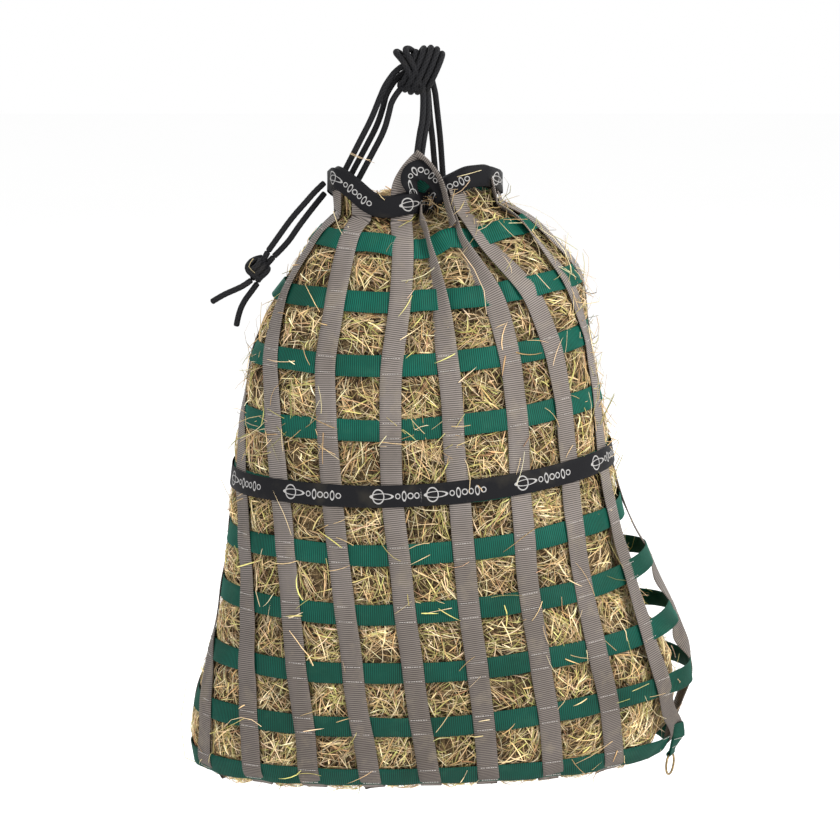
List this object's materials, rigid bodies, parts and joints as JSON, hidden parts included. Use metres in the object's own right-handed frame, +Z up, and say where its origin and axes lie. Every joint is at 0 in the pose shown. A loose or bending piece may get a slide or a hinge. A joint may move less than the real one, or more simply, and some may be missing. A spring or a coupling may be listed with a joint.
{
  "type": "webbing hay net",
  "caption": "Slow-feed hay net of crossed webbing, filled with hay, cinched by a drawstring that is knotted into a hanging loop, with a small ring sewn to one lower corner.",
  "frame": {"origin": "the hang point, right under the top knot, where a hook passes between the rope's legs", "axes": "+Z up, +Y to the back, +X to the side with the ring; the net hangs down -Z"},
  "size_m": [0.6503, 0.3238, 0.9549],
  "materials": {
    "hay": "dry grass stems",
    "grey_webbing": "ribbed webbing",
    "green_webbing": "ribbed webbing",
    "black_ribbon": "woven ribbon",
    "black_rope": "braided cord",
    "aged_brass": "aged, satin"
  },
  "bodies": {
    "net": {"hay_fill": "hay", "upright_strap_1": "grey_webbing", "upright_strap_2": "grey_webbing", "upright_strap_3": "grey_webbing", "upright_strap_4": "grey_webbing", "upright_strap_5": "grey_webbing", "upright_strap_6": "grey_webbing", "upright_strap_7": "grey_webbing", "upright_strap_8": "grey_webbing", "upright_strap_9": "grey_webbing", "hoop_strap_1": "green_webbing", "hoop_strap_2": "green_webbing", "hoop_strap_3": "green_webbing", "hoop_strap_4": "green_webbing", "hoop_strap_5": "green_webbing", "hoop_strap_6": "green_webbing", "hoop_strap_7": "green_webbing", "hoop_strap_8": "green_webbing", "hoop_strap_9": "green_webbing", "hoop_strap_10": "green_webbing", "waist_ribbon": "black_ribbon", "casing_web": "green_webbing", "casing_ribbon": "black_ribbon", "rope_left_outer": "black_rope", "rope_left_middle": "black_rope", "rope_left_inner": "black_rope", "rope_front_left": "black_rope", "rope_front_right": "black_rope", "rope_back_left": "black_rope", "rope_back_right": "black_rope", "tail_upper": "black_rope", "tail_lower": "black_rope", "tail_end_long": "black_rope", "tail_end_short": "black_rope", "drawstring_front": "black_rope", "drawstring_back": "black_rope", "top_knot": "black_rope", "stopper_knot": "black_rope"},
    "tab": {"ring_tab": "green_webbing"},
    "ring": {"ring": "aged_brass"}
  },
  "joints": [
    {"name": "tab_swing", "type": "hinge", "parent": "net", "child": "tab", "pos_m": [0.343, -0.038, -0.831], "axis": [-0.454, -0.891, 0], "range_deg": [-4, 70]},
    {"name": "ring_swing", "type": "hinge", "parent": "tab", "child": "ring", "pos_m": [0.333, -0.038, -0.856], "axis": [-0.454, -0.891, 0], "range_deg": [-40, 80]}
  ]
}
